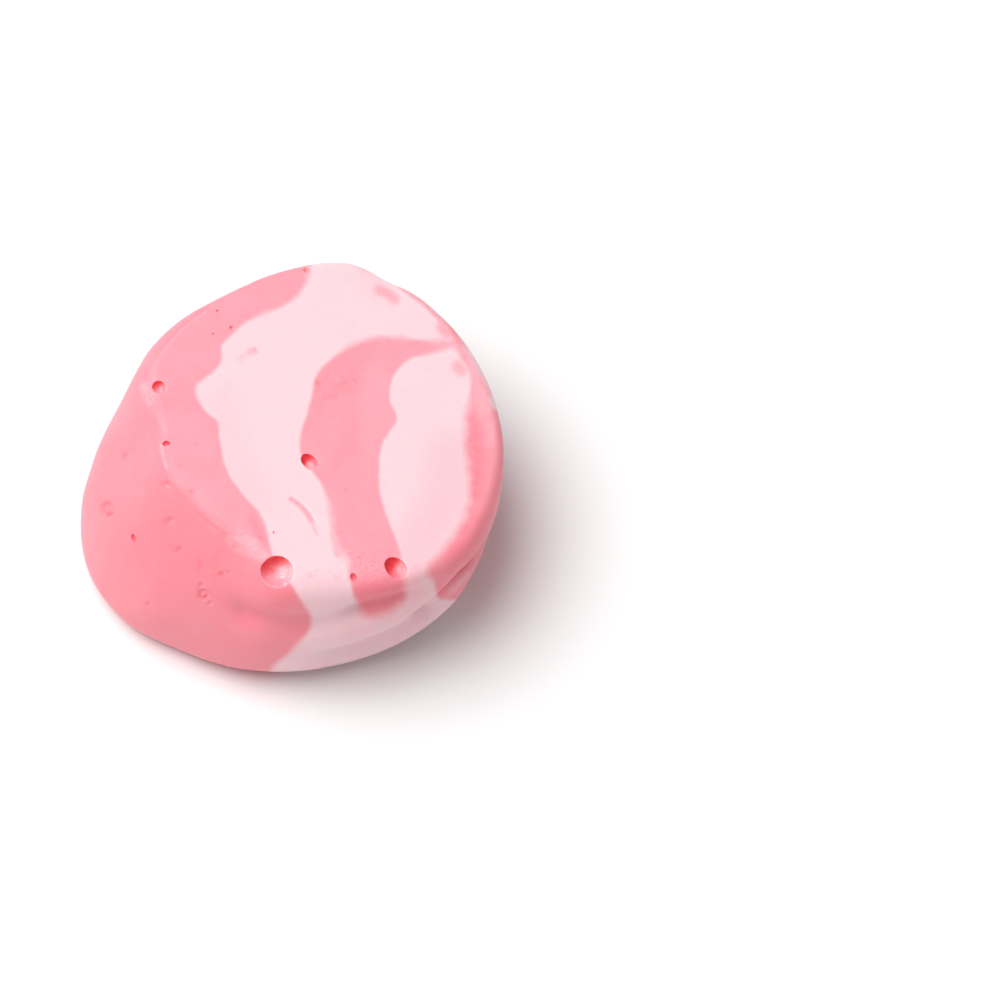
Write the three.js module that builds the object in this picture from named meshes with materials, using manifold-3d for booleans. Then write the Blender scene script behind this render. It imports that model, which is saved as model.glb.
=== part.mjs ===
// One piece of salt water taffy, unwrapped and lying on a cut end. It was nipped off a soft, aerated rope of
// pulled sugar and has slumped to one side: the upper cut face is nearly flat and slopes down towards +X, the
// -X wall flares out to a wide foot, and the +X wall stands steep. Folds of the pull run along the front
// wall, and air bubbles that the knife opened are round pits in the face and its edge.
// Millimetres, +Z up. The piece rests on Z = 0 with the middle of its outline over the origin.
import * as THREE from 'three';
import { mergeVertices } from 'three/addons/utils/BufferGeometryUtils.js';
import Module from 'manifold-3d';

const wasm = await Module();
wasm.setup();

// Driving dimensions
const FACE_HEIGHT = 12.4;                         // height of the middle of the cut face
const FACE_TILT = THREE.MathUtils.degToRad(9);    // slope of the cut face, down towards +X
const FACE_MIDDLE = new THREE.Vector3(2, -0.5, FACE_HEIGHT);
const FOOT_MIDDLE = new THREE.Vector3(-1, 0, 0);
// How far the rim lies from the face's middle, and the foot from its own, each 20 degrees from +X towards +Y
const RIM_RADII = [13.1, 13.1, 13.4, 14.0, 14.6, 13.6, 12.8, 12.9, 12.9,
  11.4, 11.4, 10.8, 11.0, 12.9, 13.1, 13.6, 13.6, 13.2];
const FOOT_RADII = [13.9, 13.7, 13.6, 13.6, 13.6, 13.5, 13.4, 13.4, 13.6,
  15.1, 15.5, 15.3, 14.4, 13.9, 14.0, 14.2, 14.4, 13.8];
const CRISP_RIM = { inward: 0.8, down: 1.2 };     // how far the rim's rounding reaches where it is crisp
const SOFT_RIM = { inward: 2.4, down: 3.0 };      // and where it is soft
// Where the rim lies between the two, each 40 degrees from +X towards +Y
const RIM_SOFTNESS = [0.15, 0.1, 0.1, 0.1, 0.1, 0.1, 0.45, 0.85, 0.3];
const FOOT_ROUNDING = { inward: 2.6, up: 4.5 };
const BELLY = 0.06;                               // how far the wall is drawn out at its waist, of its length
const GROUND_FADE = 2.0;                          // folds and waves die out over this height above the base
const WAVES = [                                   // the unevenness that fingers leave in the walls
  { height: 0.10, around: 3, along: 0.35, phase: 0.6 },
  { height: 0.07, around: 7, along: -0.50, phase: 2.1 },
];

// Folds of the pull along the front wall, and a dent across the back of the rim: how deep each presses in
// (a ridge is negative), its half width and its line along the wall
const FOLDS = [
  {
    depth: 0.50, width: 1.1,
    line: [[-3.2, -12.9, 8.3], [-0.7, -14.0, 8.5], [2.7, -14.0, 9.1], [6.1, -13.2, 9.9], [9.8, -11.6, 9.7]],
  },
  {
    depth: -0.18, width: 1.0,
    line: [[1.6, -14.3, 6.9], [4.4, -13.8, 8.0], [5.4, -13.6, 8.2]],
  },
  {
    depth: 0.48, width: 1.05,
    line: [[4.8, -13.6, 9.5], [7.8, -12.6, 9.6]],
  },
  {
    depth: 0.62, width: 1.5,
    line: [[3.0, -14.2, 4.2], [7.9, -12.5, 5.2], [9.4, -11.8, 5.8]],
  },
  {
    depth: 0.55, width: 0.85,
    line: [[9.6, -11.7, 6.3], [10.4, -11.2, 7.0], [12.0, -9.8, 7.9], [13.0, -7.9, 7.4], [13.8, -5.7, 6.7]],
  },
  {
    depth: 0.20, width: 0.9,
    line: [[10.8, -10.9, 5.6], [12.0, -9.6, 5.8], [12.9, -8.1, 5.4]],
  },
  {
    depth: 0.30, width: 1.8,
    line: [[6.6, 13.1, 11.6], [6.9, 13.3, 7.5]],
  },
];

// Bubbles cut open: the middle of the opening, the bubble's radius across and along its axis, and how far its
// middle is sunk below the surface. A leaning bubble's axis turns away from square to the surface, so it has
// a steep wall on the side it leans to and opens as a ramp on the other. A stretched one is longer than it
// is wide, along a heading in degrees from +X towards +Y.
const SQUARE = [0, 0, 0];
const BUBBLES = [
  { at: [-0.75, -11.9, 12.5], across: 1.28, deep: 0.98, sunk: -0.30, lean: [-0.26, 0.46, 0.20] },
  {
    at: [7.45, -10.95, 11.5], across: 0.74, deep: 0.75, sunk: -0.05,
    lean: [-0.35, 0.30, 0], stretch: 1.3, heading: -50,
  },
  {
    at: [1.36, -3.0, 12.5], across: 0.51, deep: 0.55, sunk: 0,
    lean: [-0.30, 0.30, 0], stretch: 1.5, heading: -47,
  },
  { at: [-9.2, 2.1, 14.2], across: 0.50, deep: 0.50, sunk: -0.05, lean: [-0.20, 0.35, 0] },
  { at: [4.5, -11.9, 11.9], across: 0.23, deep: 0.28, sunk: 0.04, stretch: 1.3, heading: -70 },
  { at: [-8.6, -2.4, 14.0], across: 0.22, deep: 0.24, sunk: 0.03, stretch: 1.3, heading: 0 },
];
// How finely the faceted solid follows the form
const STEPS_AROUND = 112;
const FACE_RINGS = 2;
const RIM_RINGS = 6;
const WALL_RINGS = 18;
const FOOT_RINGS = 6;
const BUBBLE_DETAIL = 3;

const { lerp, smoothstep } = THREE.MathUtils;

function closedOutline(middle, radii, heightAt) {
  const corners = radii.map((radius, i) => {
    const angle = 2 * Math.PI * i / radii.length;
    const x = middle.x + radius * Math.cos(angle);
    return new THREE.Vector3(x, middle.y + radius * Math.sin(angle), heightAt(x));
  });
  return new THREE.CatmullRomCurve3(corners, true, 'catmullrom', 0.5);
}

function faceHeightAt(x) {
  return FACE_HEIGHT - Math.tan(FACE_TILT) * (x - FACE_MIDDLE.x);
}

function toward(from, to, distance) {
  return to.clone().sub(from).setLength(distance).add(from);
}

// The points of one meridian, from beside the middle of the face, over the rim and down the wall, to where
// the foot's rounding meets the flat base
function meridian(rim, foot, angle, softness) {
  const faceEdge = toward(rim, FACE_MIDDLE, lerp(CRISP_RIM.inward, SOFT_RIM.inward, softness));
  const outward = new THREE.Vector3(Math.cos(angle), Math.sin(angle), 0);
  const waist = rim.clone().lerp(foot, 0.5).addScaledVector(outward, BELLY * rim.distanceTo(foot));
  const wallTop = toward(rim, waist, lerp(CRISP_RIM.down, SOFT_RIM.down, softness));
  const wallFoot = toward(foot, waist, FOOT_ROUNDING.up);
  const baseEdge = toward(foot, FOOT_MIDDLE, FOOT_ROUNDING.inward);
  const points = [];
  for (let k = 1; k <= FACE_RINGS; k += 1) {
    points.push(FACE_MIDDLE.clone().lerp(faceEdge, k / FACE_RINGS));
  }
  const arcs = [
    [faceEdge, rim, wallTop, RIM_RINGS],
    [wallTop, waist, wallFoot, WALL_RINGS],
    [wallFoot, foot, baseEdge, FOOT_RINGS],
  ];
  for (const [start, corner, end, rings] of arcs) {
    const arc = new THREE.QuadraticBezierCurve3(start, corner, end);
    for (let k = 1; k <= rings; k += 1) {
      points.push(arc.getPoint(k / rings));
    }
  }
  return points;
}

// The smooth form as a grid of points: grid[i] is the meridian at step i around
function smoothGrid() {
  const rimLine = closedOutline(FACE_MIDDLE, RIM_RADII, faceHeightAt);
  const footLine = closedOutline(FOOT_MIDDLE, FOOT_RADII, () => 0);
  const softnesses = RIM_SOFTNESS.map((softness) => new THREE.Vector3(softness, 0, 0));
  const softnessLine = new THREE.CatmullRomCurve3(softnesses, true, 'catmullrom', 0.5);
  return Array.from({ length: STEPS_AROUND }, (_, i) => {
    const turn = i / STEPS_AROUND;
    const softness = softnessLine.getPoint(turn).x;
    return meridian(rimLine.getPoint(turn), footLine.getPoint(turn), 2 * Math.PI * turn, softness);
  });
}

function outwardAt(grid, i, j) {
  const rings = grid[0].length;
  const next = grid[(i + 1) % STEPS_AROUND][j];
  const before = grid[(i + STEPS_AROUND - 1) % STEPS_AROUND][j];
  const above = grid[i][Math.max(j - 1, 0)];
  const below = grid[i][Math.min(j + 1, rings - 1)];
  const around = next.clone().sub(before);
  return below.clone().sub(above).cross(around).normalize();
}

const foldLines = FOLDS.map((fold) => {
  const places = fold.line.map((place) => new THREE.Vector3(...place));
  return places.slice(1).map((place, i) => new THREE.Line3(places[i], place));
});

function distanceToLine(point, segments) {
  const nearest = new THREE.Vector3();
  const distances = segments.map((segment) => {
    segment.closestPointToPoint(point, true, nearest);
    return nearest.distanceTo(point);
  });
  return Math.min(...distances);
}

// How far the surface stands proud of the smooth form at a point
function reliefAt(point, angle) {
  let relief = 0;
  FOLDS.forEach((fold, i) => {
    relief -= fold.depth * Math.exp(-((distanceToLine(point, foldLines[i]) / fold.width) ** 2));
  });
  const wall = 1 - smoothstep(point.z, faceHeightAt(point.x) - GROUND_FADE, faceHeightAt(point.x));
  for (const wave of WAVES) {
    relief += wall * wave.height * Math.sin(wave.around * angle + wave.along * point.z + wave.phase);
  }
  return relief * smoothstep(point.z, 0, GROUND_FADE);
}

function relievedGrid() {
  const smooth = smoothGrid();
  return smooth.map((points, i) => points.map((point, j) => {
    const angle = 2 * Math.PI * i / STEPS_AROUND;
    return point.clone().addScaledVector(outwardAt(smooth, i, j), reliefAt(point, angle));
  }));
}

// The grid closed with a fan at the middle of the face and one at the middle of the base. Each cell is split
// along its shorter diagonal, which follows the folds best.
function closedBody(grid) {
  const rings = grid[0].length;
  const points = grid.flat();
  const positions = points.flatMap((point) => point.toArray());
  const top = points.length;
  const bottom = top + 1;
  positions.push(...FACE_MIDDLE.toArray(), ...FOOT_MIDDLE.toArray());
  const indices = [];
  for (let i = 0; i < STEPS_AROUND; i += 1) {
    const here = i * rings;
    const next = ((i + 1) % STEPS_AROUND) * rings;
    indices.push(top, here, next);
    for (let j = 0; j < rings - 1; j += 1) {
      const [a, b, c, d] = [here + j, here + j + 1, next + j + 1, next + j];
      if (points[a].distanceTo(points[c]) < points[b].distanceTo(points[d])) {
        indices.push(a, b, c, a, c, d);
      } else {
        indices.push(a, b, d, b, c, d);
      }
    }
    indices.push(bottom, next + rings - 1, here + rings - 1);
  }
  const geometry = new THREE.BufferGeometry();
  geometry.setAttribute('position', new THREE.Float32BufferAttribute(positions, 3));
  geometry.setIndex(indices);
  return geometry;
}

function toSolid(geometry) {
  const vertProperties = new Float32Array(geometry.attributes.position.array);
  const triVerts = new Uint32Array(geometry.index.array);
  return new wasm.Manifold(new wasm.Mesh({ numProp: 3, vertProperties, triVerts }));
}

function toGeometry(solid) {
  const mesh = solid.getMesh();
  const geometry = new THREE.BufferGeometry();
  geometry.setAttribute('position', new THREE.Float32BufferAttribute(mesh.vertProperties, 3));
  geometry.setIndex(Array.from(mesh.triVerts));
  return geometry;
}

// The way out of the piece at the grid's point that is nearest to a place
function outwardNear(grid, place) {
  let best = { distance: Infinity };
  grid.forEach((points, i) => points.forEach((point, j) => {
    const distance = point.distanceTo(place);
    if (distance < best.distance) {
      best = { distance, i, j };
    }
  }));
  return outwardAt(grid, best.i, best.j);
}

function bubbleSolid(grid, bubble) {
  const place = new THREE.Vector3(...bubble.at);
  const outward = outwardNear(grid, place);
  const middle = place.addScaledVector(outward, -bubble.sunk);
  const axis = outward.clone().add(new THREE.Vector3(...(bubble.lean ?? SQUARE))).normalize();
  const turn = new THREE.Quaternion().setFromUnitVectors(new THREE.Vector3(0, 0, 1), axis);
  const heading = THREE.MathUtils.degToRad(bubble.heading ?? 0);
  turn.multiply(new THREE.Quaternion().setFromAxisAngle(new THREE.Vector3(0, 0, 1), heading));
  const size = new THREE.Vector3(bubble.across * (bubble.stretch ?? 1), bubble.across, bubble.deep);
  const ball = new THREE.IcosahedronGeometry(1, BUBBLE_DETAIL);
  ball.deleteAttribute('normal');
  ball.deleteAttribute('uv');
  ball.applyMatrix4(new THREE.Matrix4().compose(middle, turn, size));
  return toSolid(mergeVertices(ball));
}

function taffyGeometry() {
  const grid = relievedGrid();
  let solid = toSolid(closedBody(grid));
  for (const bubble of BUBBLES) {
    solid = solid.subtract(bubbleSolid(grid, bubble));
  }
  const geometry = toGeometry(solid);
  geometry.computeBoundingBox();
  const middle = geometry.boundingBox.getCenter(new THREE.Vector3());
  geometry.translate(-middle.x, -middle.y, -geometry.boundingBox.min.z);
  geometry.computeVertexNormals();
  return geometry;
}

const sugar = new THREE.MeshStandardMaterial({ color: 0xffadb8, roughness: 0.5, metalness: 0 });
const taffy = new THREE.Mesh(taffyGeometry(), sugar);
taffy.name = 'taffy';

const piece = new THREE.Group();
piece.add(taffy);

export default piece;
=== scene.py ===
# One piece of salt water taffy, pink and near-white layers of pulled sugar folded together, lying on a pale
# surface. The form is worked out from the same named sizes as the solid, in millimetres, and is then set into
# the frame, in metres. The colours are layers that run through the piece along one slanting axis, with
# painted shade in the opened bubbles, on the slope and walls and along some creases, and painted highlights
# in the bubbles.
import math

import bmesh
import bpy
import numpy as np
from mathutils import Matrix, Vector, kdtree, noise


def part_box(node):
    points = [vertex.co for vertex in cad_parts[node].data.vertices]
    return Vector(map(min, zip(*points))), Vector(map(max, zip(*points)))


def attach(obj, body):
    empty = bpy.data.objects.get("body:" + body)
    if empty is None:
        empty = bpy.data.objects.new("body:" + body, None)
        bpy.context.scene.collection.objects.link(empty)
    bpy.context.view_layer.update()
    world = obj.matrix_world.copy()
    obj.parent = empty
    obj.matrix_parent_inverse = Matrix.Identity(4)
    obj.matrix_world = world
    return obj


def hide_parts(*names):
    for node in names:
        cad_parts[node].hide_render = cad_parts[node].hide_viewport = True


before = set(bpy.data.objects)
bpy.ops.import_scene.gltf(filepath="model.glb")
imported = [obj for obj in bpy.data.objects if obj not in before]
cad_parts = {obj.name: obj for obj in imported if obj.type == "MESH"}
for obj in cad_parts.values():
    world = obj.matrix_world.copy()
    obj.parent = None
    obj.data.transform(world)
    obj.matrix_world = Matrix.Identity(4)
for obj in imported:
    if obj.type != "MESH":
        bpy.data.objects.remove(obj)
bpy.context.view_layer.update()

MM = 0.001

# ---------------------------------------------------------------------------------------------------------
# The form: sizes in millimetres, as in the solid
# ---------------------------------------------------------------------------------------------------------
FACE_HEIGHT = 12.4
FACE_SLOPE = math.tan(math.radians(9))
FACE_MIDDLE = np.array([2.0, -0.5, FACE_HEIGHT])
FOOT_MIDDLE = np.array([-1.0, 0.0, 0.0])
# Radii once around from +X, at even angles
RIM_RADII = [13.1, 13.1, 13.4, 14.0, 14.6, 13.6, 12.8, 12.9, 12.9,
             11.4, 11.4, 10.8, 11.0, 12.9, 13.1, 13.6, 13.6, 13.2]
FOOT_RADII = [13.9, 13.7, 13.6, 13.6, 13.6, 13.5, 13.4, 13.4, 13.6,
              15.1, 15.5, 15.3, 14.4, 13.9, 14.0, 14.2, 14.4, 13.8]
CRISP_RIM = {"inward": 0.8, "down": 1.2}
SOFT_RIM = {"inward": 2.4, "down": 3.0}
RIM_SOFTNESS = [0.15, 0.1, 0.1, 0.1, 0.1, 0.1, 0.45, 0.85, 0.3]     # 0 crisp, 1 soft, once around from +X
FOOT_ROUNDING = {"inward": 2.6, "up": 4.5}
BELLY = 0.06                        # how far the wall stands out halfway down, of its length
GROUND_FADE = 2.0                   # the relief dies out over this height, and the waves below the rim too
WAVES = [
    {"height": 0.10, "around": 3, "along": 0.35, "phase": 0.6},
    {"height": 0.07, "around": 7, "along": -0.50, "phase": 2.1},
]
# A fold is a groove along a line, or a ridge where its depth is negative
FOLDS = [
    {"depth": 0.50, "width": 1.1,
     "line": [[-3.2, -12.9, 8.3], [-0.7, -14.0, 8.5], [2.7, -14.0, 9.1], [6.1, -13.2, 9.9],
              [9.8, -11.6, 9.7]]},
    {"depth": -0.18, "width": 1.0, "line": [[1.6, -14.3, 6.9], [4.4, -13.8, 8.0], [5.4, -13.6, 8.2]]},
    {"depth": 0.48, "width": 1.05, "line": [[4.8, -13.6, 9.5], [7.8, -12.6, 9.6]]},
    {"depth": 0.62, "width": 1.5, "line": [[3.0, -14.2, 4.2], [7.9, -12.5, 5.2], [9.4, -11.8, 5.8]]},
    {"depth": 0.55, "width": 0.85,
     "line": [[9.6, -11.7, 6.3], [10.4, -11.2, 7.0], [12.0, -9.8, 7.9], [13.0, -7.9, 7.4],
              [13.8, -5.7, 6.7]]},
    {"depth": 0.20, "width": 0.9, "line": [[10.8, -10.9, 5.6], [12.0, -9.6, 5.8], [12.9, -8.1, 5.4]]},
    {"depth": 0.30, "width": 1.8, "line": [[6.6, 13.1, 11.6], [6.9, 13.3, 7.5]]},
]
# What is too fine for the solid: the knife's burr along the crisp rim, a crack where a fold closes, a wrinkle
# in the face, and the line where the skin rolls over the rim
FINE_FOLDS = [
    {"depth": -0.04, "width": 0.22,
     "line": [[-8.8, -3.0, 14.0], [-8.3, -5.1, 13.7], [-6.4, -7.2, 13.5], [-4.0, -9.3, 12.9],
              [-1.5, -10.5, 12.8]]},
    {"depth": 0.60, "width": 0.32,
     "line": [[10.2, -11.3, 6.9], [11.3, -10.4, 7.7], [12.0, -9.8, 7.9], [13.0, -7.9, 7.4]]},
    {"depth": 0.03, "width": 0.14, "line": [[0.2, -5.9, 12.7], [1.3, -6.9, 12.5], [1.9, -7.9, 12.4]]},
    {"depth": 0.08, "width": 0.16,
     "line": [[-10.3, 2.5, 13.8], [-10.1, 3.4, 14.0], [-9.2, 5.0, 14.1], [-7.9, 7.0, 13.9],
              [-6.2, 8.7, 13.6]]},
]
# Bubbles cut open, as in the solid, then the smaller ones: across and deep are radii. Each wall gets a
# painted shade of deep pink, deepest on the side that faces the way a bubble leans unless another way is
# given, and the floor is how deep that painted shade is on the wall away from it.
UPRIGHT = [0, 0, 0]
BUBBLES = [
    {"at": [-0.75, -11.9, 12.5], "across": 1.28, "deep": 0.98, "sunk": -0.30, "lean": [-0.26, 0.46, 0.20],
     "steep": [-0.17, 0.46, 0.20], "floor": 0.32},
    {"at": [7.45, -10.95, 11.5], "across": 0.74, "deep": 0.75, "sunk": -0.05, "lean": [-0.35, 0.30, 0],
     "stretch": 1.3, "heading": -50, "floor": 0.45},
    {"at": [1.36, -3.0, 12.5], "across": 0.51, "deep": 0.55, "sunk": 0, "lean": [-0.30, 0.30, 0],
     "stretch": 1.5, "heading": -47, "floor": 0.50},
    {"at": [-9.2, 2.1, 14.2], "across": 0.50, "deep": 0.50, "sunk": -0.05, "lean": [-0.20, 0.35, 0],
     "floor": 0.28},
    {"at": [4.5, -11.9, 11.9], "across": 0.23, "deep": 0.28, "sunk": 0.04, "stretch": 1.3, "heading": -70},
    {"at": [-8.6, -2.4, 14.0], "across": 0.22, "deep": 0.24, "sunk": 0.03, "stretch": 1.3},
    {"at": [-11.0, -6.8, 8.4], "across": 0.25, "deep": 0.20, "sunk": 0.0, "stretch": 1.3, "heading": 80,
     "floor": 0.60},
    {"at": [1.0, 12.7, 12.5], "across": 0.27, "deep": 0.20, "sunk": 0.0, "floor": 0.50},
    {"at": [-4.2, 7.4, 13.4], "across": 0.18, "deep": 0.16, "sunk": 0.02, "floor": 0.45},
    {"at": [-5.2, 8.7, 13.5], "across": 0.13, "deep": 0.10, "sunk": 0.02, "floor": 0.30},
    {"at": [-5.5, 6.8, 13.6], "across": 0.08, "deep": 0.10, "sunk": 0.02},
    {"at": [-1.05, -8.9, 12.9], "across": 0.08, "deep": 0.10, "sunk": 0.02},
]
# Blisters that have sunk in, round as they are seen along the layers' axis: a ring groove round a low dome,
# or a dimple where there is no radius
BLISTERS = [
    {"at": [-12.9, -4.0, 7.5], "radius": 0.40, "width": 0.16, "depth": 0.22},
    {"at": [-6.0, -11.2, 8.2], "radius": 0.26, "width": 0.13, "depth": 0.14},
    {"at": [-6.2, -10.7, 8.7], "width": 0.16, "depth": 0.12},
    {"at": [-5.6, -11.7, 7.9], "width": 0.16, "depth": 0.10},
    {"at": [-8.4, -7.2, 11.5], "width": 0.24, "depth": 0.14},
    {"at": [-8.5, -5.3, 13.4], "width": 0.18, "depth": 0.14},
    {"at": [-8.3, -5.5, 13.5], "width": 0.12, "depth": 0.08},
    {"at": [-11.5, -1.4, 10.6], "width": 0.22, "depth": 0.14},
    {"at": [-4.7, -10.8, 10.3], "width": 0.18, "depth": 0.09},
    {"at": [-4.2, -10.9, 10.8], "width": 0.15, "depth": 0.08},
    {"at": [-7.7, -8.8, 10.3], "width": 0.16, "depth": 0.12},
    {"at": [-8.8, -11.5, 3.0], "width": 0.60, "depth": 0.08},
    {"at": [-9.9, -10.2, 5.2], "width": 0.14, "depth": 0.10},
]
SKIN = [{"waves": 0.35, "height": 0.05}, {"waves": 1.3, "height": 0.012}]    # a mm, and mm high

LAYER_AXIS = np.array([0.0, -0.5, 0.866])        # the layers run along this, so they show on face and wall
ACROSS = np.array([1.0, 0.0, 0.0])
UP_LAYER = np.array([0.0, 0.866, 0.5])

# How finely the visible mesh follows the form
STEPS_AROUND = 384
RINGS = [44, 18, 44, 14, 6]         # on the face, rim, wall, foot rounding and base
NEAR_BUBBLE = [1.9, 1.5]            # the mesh is halved inside these shares of a bubble's radius
NEAR_MARK = [0.55, 0.40]            # and this close to a fine fold, a spot or a blister, mm
LARGE_BUBBLE = 0.4                  # radius, mm
LARGE_BALL_STEPS = 5                # how often a large bubble's ball is divided
SMALL_BALL_STEPS = 4                # and a small one's
UNEVEN_BALL = [{"waves": 1.2, "height": 0.05}, {"waves": 6.0, "height": 0.02}]   # over a ball of radius 1

# The wall of a bubble, the painted shade on it, and its lip
SHADED_SIDE = [-0.15, 0.95]          # where the painted shade on a leaning bubble's shaded side starts and is full, of its radius
LIP_BAND = [-0.06, 0.06]            # how deep below its lip a bubble's wall turns to its painted shade, mm
SMALL_FLOOR_SHADE = 0.60                  # how deep a painted shade the floor of a small bubble has
BARELY_IN = 0.02                    # the least share of that painted shade, which marks every point below the skin
WELD = 0.004                        # points closer than this after the cuts are joined, mm
SHARP_ANGLE = 0.5                   # an edge bent more than this is a lip, radians
LIP_REACH = 0.09                    # how far from it the lip is softened, mm
LIP_PASSES = 6                      # how many times over
LIP_SMOOTHING = 0.5                 # and how strongly each time


def lerp(a, b, t):
    return a + (b - a) * t


def smoothstep(low, high, x):
    t = np.clip((x - low) / (high - low), 0, 1)
    return t * t * (3 - 2 * t)


def bell(distance, width):
    return np.exp(-((distance / width) ** 2))


def toward(start, end, distance):
    way = end - start
    return start + way * (distance / np.linalg.norm(way, axis=1, keepdims=True))


def arc(start, corner, end, t):
    return (1 - t) ** 2 * start + 2 * t * (1 - t) * corner + t * t * end


def through(corners, place):
    """A smooth closed line through corners, at places counted in corners from the first."""
    corners = np.asarray(corners, float)
    i = np.floor(place).astype(int)
    t = (place - i)[:, None]
    before, start, end, after = (corners[k % len(corners)] for k in (i - 1, i, i + 1, i + 2))
    leave = (end - before) / 2
    arrive = (after - start) / 2
    return ((2 * t**3 - 3 * t**2 + 1) * start + (t**3 - 2 * t**2 + t) * leave
            + (3 * t**2 - 2 * t**3) * end + (t**3 - t**2) * arrive)


def closed_outline(middle, radii, turn):
    angles = 2 * np.pi * np.arange(len(radii)) / len(radii)
    corners = middle[:2] + np.array(radii)[:, None] * np.column_stack([np.cos(angles), np.sin(angles)])
    return through(corners, turn * len(radii))


def face_height(x):
    return FACE_HEIGHT - FACE_SLOPE * (x - FACE_MIDDLE[0])


def smooth_form(turn, along):
    """Points of the form: turn goes once around, along runs from the face's middle to the base's, 0 to 5."""
    rim_line = closed_outline(FACE_MIDDLE, RIM_RADII, turn)
    rim = np.column_stack([rim_line, face_height(rim_line[:, 0])])
    foot = np.column_stack([closed_outline(FOOT_MIDDLE, FOOT_RADII, turn), np.zeros(len(turn))])
    angle = 2 * np.pi * turn
    softness = through(np.array(RIM_SOFTNESS)[:, None], turn * len(RIM_SOFTNESS))
    outward = np.column_stack([np.cos(angle), np.sin(angle), np.zeros(len(turn))])
    waist = (rim + foot) / 2 + outward * BELLY * np.linalg.norm(rim - foot, axis=1, keepdims=True)
    face_edge = toward(rim, FACE_MIDDLE, lerp(CRISP_RIM["inward"], SOFT_RIM["inward"], softness))
    wall_top = toward(rim, waist, lerp(CRISP_RIM["down"], SOFT_RIM["down"], softness))
    wall_foot = toward(foot, waist, FOOT_ROUNDING["up"])
    base_edge = toward(foot, FOOT_MIDDLE, FOOT_ROUNDING["inward"])
    stage = np.minimum(along.astype(int), 4)
    t = (along - stage)[:, None]
    stretches = np.stack([
        lerp(FACE_MIDDLE, face_edge, t),
        arc(face_edge, rim, wall_top, t),
        arc(wall_top, waist, wall_foot, t),
        arc(wall_foot, foot, base_edge, t),
        lerp(base_edge, FOOT_MIDDLE, t),
    ])
    return stretches[stage, np.arange(len(turn))]


def way_out(turn, along):
    """The outward direction of the smooth form, from points a small step away on each side."""
    step = 0.004
    inner = np.clip(along, 2 * step, 5 - 2 * step)
    around = smooth_form((turn + step) % 1, inner) - smooth_form((turn - step) % 1, inner)
    down = smooth_form(turn, inner + step) - smooth_form(turn, inner - step)
    out = np.cross(down, around)
    return out / np.linalg.norm(out, axis=1, keepdims=True)


def flat(points):
    """Where points lie across and up the layers."""
    return np.asarray(points) @ np.column_stack([ACROSS, UP_LAYER])


def distance_to_line(points, line):
    """Distance from each point to a line through corners, in two dimensions or three."""
    corners = np.asarray(line, float)
    if len(corners) == 1:
        return np.linalg.norm(points - corners[0], axis=1)
    nearest = np.full(len(points), np.inf)
    for start, end in zip(corners, corners[1:]):
        way = end - start
        share = np.clip((points - start) @ way / (way @ way), 0, 1)
        nearest = np.minimum(nearest, np.linalg.norm(points - start - share[:, None] * way, axis=1))
    return nearest


def relief(points, turn):
    """How far the surface stands proud of the smooth form."""
    out = np.zeros(len(points))
    for fold in FOLDS + FINE_FOLDS:
        out -= fold["depth"] * bell(distance_to_line(points, fold["line"]), fold["width"])
    facing = points @ LAYER_AXIS > 0
    for blister in BLISTERS:
        away = distance_to_line(flat(points), [flat(blister["at"])]) - blister.get("radius", 0)
        out -= blister["depth"] * bell(away, blister["width"]) * facing
    top = face_height(points[:, 0])
    wall = 1 - smoothstep(top - GROUND_FADE, top, points[:, 2])
    for wave in WAVES:
        phase = wave["around"] * 2 * np.pi * turn + wave["along"] * points[:, 2] + wave["phase"]
        out += wall * wave["height"] * np.sin(phase)
    for layer in SKIN:
        scaled = points * layer["waves"]
        out += layer["height"] * np.array([noise.noise(Vector(place)) for place in scaled])
    return out * smoothstep(0, GROUND_FADE, points[:, 2])


def form(turn, along):
    smooth = smooth_form(turn, along)
    return smooth + way_out(turn, along) * relief(smooth, turn)[:, None]


# ---------------------------------------------------------------------------------------------------------
# The mesh
# ---------------------------------------------------------------------------------------------------------
def unrolled(vectors):
    """turn and along of points laid out on a unit cylinder, as the mesh is while it is being divided."""
    turn = (np.arctan2(vectors[:, 1], vectors[:, 0]) / (2 * np.pi)) % 1
    return turn, np.clip(vectors[:, 2], 0, 5)


def cylinder_grid():
    """The body's mesh laid out on a unit cylinder: the angle is the turn, and the height is along."""
    mesh = bmesh.new()
    heights = np.concatenate([[0]] + [k + np.arange(1, n + 1) / n for k, n in enumerate(RINGS)])
    angles = 2 * np.pi * np.arange(STEPS_AROUND) / STEPS_AROUND
    top = mesh.verts.new((0, 0, 0))
    rings = [[mesh.verts.new((math.cos(a), math.sin(a), h)) for a in angles] for h in heights[1:-1]]
    bottom = mesh.verts.new((0, 0, heights[-1]))
    for i in range(STEPS_AROUND):
        k = (i + 1) % STEPS_AROUND
        mesh.faces.new((top, rings[0][i], rings[0][k]))
        for upper, lower in zip(rings, rings[1:]):
            mesh.faces.new((upper[i], lower[i], lower[k], upper[k]))
        mesh.faces.new((bottom, rings[-1][k], rings[-1][i]))
    return mesh


def near_detail(points, level):
    """Which points are close to a bubble, a blister, a fine fold or a spot."""
    near = np.zeros(len(points), bool)
    places = flat(points)
    facing = points @ LAYER_AXIS > 0
    for spot in SPOTS:
        near |= facing & (distance_to_line(places, spot["line"]) < NEAR_MARK[level])
    for bubble in BUBBLES:
        reach = NEAR_BUBBLE[level] * bubble["across"] + LIP_REACH
        near |= distance_to_line(points, [bubble["at"]]) < reach
    for blister in BLISTERS:
        reach = NEAR_MARK[level] + blister.get("radius", 0)
        near |= facing & (distance_to_line(places, [flat(blister["at"])]) < reach)
    for fold in FINE_FOLDS:
        near |= distance_to_line(points, fold["line"]) < NEAR_MARK[level]
    return near


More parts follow.
